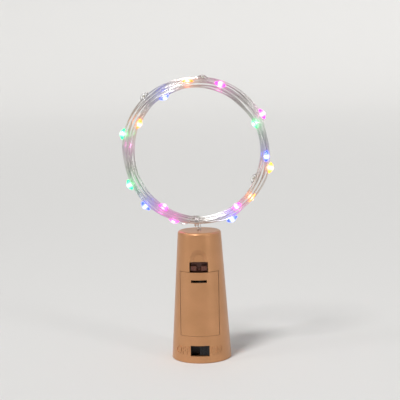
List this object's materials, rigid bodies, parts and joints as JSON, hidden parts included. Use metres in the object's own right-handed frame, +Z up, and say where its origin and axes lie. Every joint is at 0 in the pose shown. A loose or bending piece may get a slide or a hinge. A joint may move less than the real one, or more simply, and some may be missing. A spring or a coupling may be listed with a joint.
{
  "type": "cork bottle light",
  "caption": "Cork-shaped bottle stopper light with a curved battery door, slide switch and a wound ring of fine wire carrying small coloured lights.",
  "frame": {"origin": "centre of the flat base of the casing, on the surface it stands on", "axes": "+Z up along the casing's axis towards the narrow end and the ring, -Y out of the battery door, +X towards the switch's ON end"},
  "size_m": [0.059, 0.0236, 0.1114],
  "materials": {
    "tan_coating": "satin tan metallic coating on moulded ABS",
    "tray_plastic": "moulded black ABS",
    "cell_steel": "nickel-plated steel, satin",
    "contact_plate": "nickel-plated spring steel",
    "board_laminate": "green solder resist on laminate",
    "switch_steel": "tinned sheet steel",
    "black_plastic": "moulded black plastic",
    "terminal_brass": "tinned brass",
    "resistor_body": "lacquered ceramic",
    "red_insulation": "red PVC insulation",
    "black_insulation": "black PVC insulation",
    "silver_wire": "enamelled silver-plated copper",
    "hot_melt_glue": "translucent hot-melt glue",
    "clear_resin": "clear cast epoxy drops",
    "chip_blue": "lit blue light chip",
    "chip_green": "lit green light chip",
    "chip_magenta": "lit magenta light chip",
    "chip_orange": "lit orange light chip",
    "chip_yellow": "lit yellow light chip"
  },
  "bodies": {
    "casing": {"cork_shell": "tan_coating", "base_cap": "tan_coating", "battery_tray": "tray_plastic", "button_cell_lower": "cell_steel", "button_cell_middle": "cell_steel", "button_cell_upper": "cell_steel", "positive_contact": "contact_plate", "negative_contact": "contact_plate", "contact_spring": "contact_plate", "circuit_board": "board_laminate", "switch_can": "switch_steel", "switch_base": "black_plastic", "switch_terminals": "terminal_brass", "current_resistor": "resistor_body", "lead_red": "red_insulation", "lead_black": "black_insulation", "string_tail_wires": "silver_wire", "glue_plug": "hot_melt_glue", "fairy_wire_lead": "silver_wire", "wire_wraps": "silver_wire", "fairy_wire_coil": "silver_wire", "light_beads_blue": "clear_resin", "light_chips_blue": "chip_blue", "light_beads_green": "clear_resin", "light_chips_green": "chip_green", "light_beads_magenta": "clear_resin", "light_chips_magenta": "chip_magenta", "light_beads_orange": "clear_resin", "light_chips_orange": "chip_orange", "light_beads_yellow": "clear_resin", "light_chips_yellow": "chip_yellow"},
    "door": {"battery_door": "tan_coating", "latch_bend": "tan_coating"},
    "latch": {"latch_tongue": "tan_coating"},
    "switch_slider": {"switch_knob": "black_plastic", "switch_wiper": "terminal_brass"}
  },
  "joints": [
    {"name": "door_swing", "type": "hinge", "parent": "casing", "child": "door", "pos_m": [0, -0.01111, 0.01074], "axis": [1, 0, 0], "range_deg": [0, 45], "deforming": ["latch_tongue"]},
    {"name": "latch_press", "type": "slide", "parent": "door", "child": "latch", "axis": [0, 0, -1], "range_m": [0, 0.001], "stiffness_N_per_m": 800, "deforming": ["latch_bend"]},
    {"name": "switch_slide", "type": "slide", "parent": "casing", "child": "switch_slider", "axis": [-1, 0, 0], "range_m": [0, 0.0034]}
  ]
}
